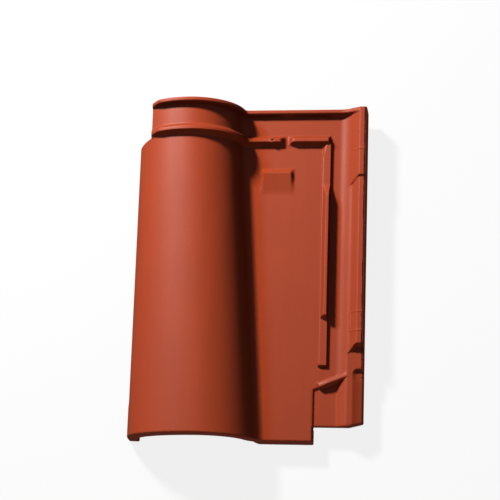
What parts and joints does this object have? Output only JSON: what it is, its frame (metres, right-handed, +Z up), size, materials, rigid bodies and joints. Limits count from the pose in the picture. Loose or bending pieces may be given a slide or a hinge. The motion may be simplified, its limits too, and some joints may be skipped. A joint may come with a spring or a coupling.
{
  "type": "clay roof tile",
  "caption": "Single-roll interlocking clay roof tile with a tapered hollow roll, a flat pan, ribbed head lock and a grooved side lock.",
  "frame": {"origin": "centre of the tile's box on the plane it lies on", "axes": "+X across the tile from the roll to the side lock, +Y from the tail to the head, +Z up from the resting plane"},
  "size_m": [0.264, 0.38, 0.0845],
  "materials": {
    "fired_clay": "satin red engobe on fired clay"
  },
  "bodies": {
    "root": {"roof_tile": "fired_clay"}
  },
  "joints": []
}
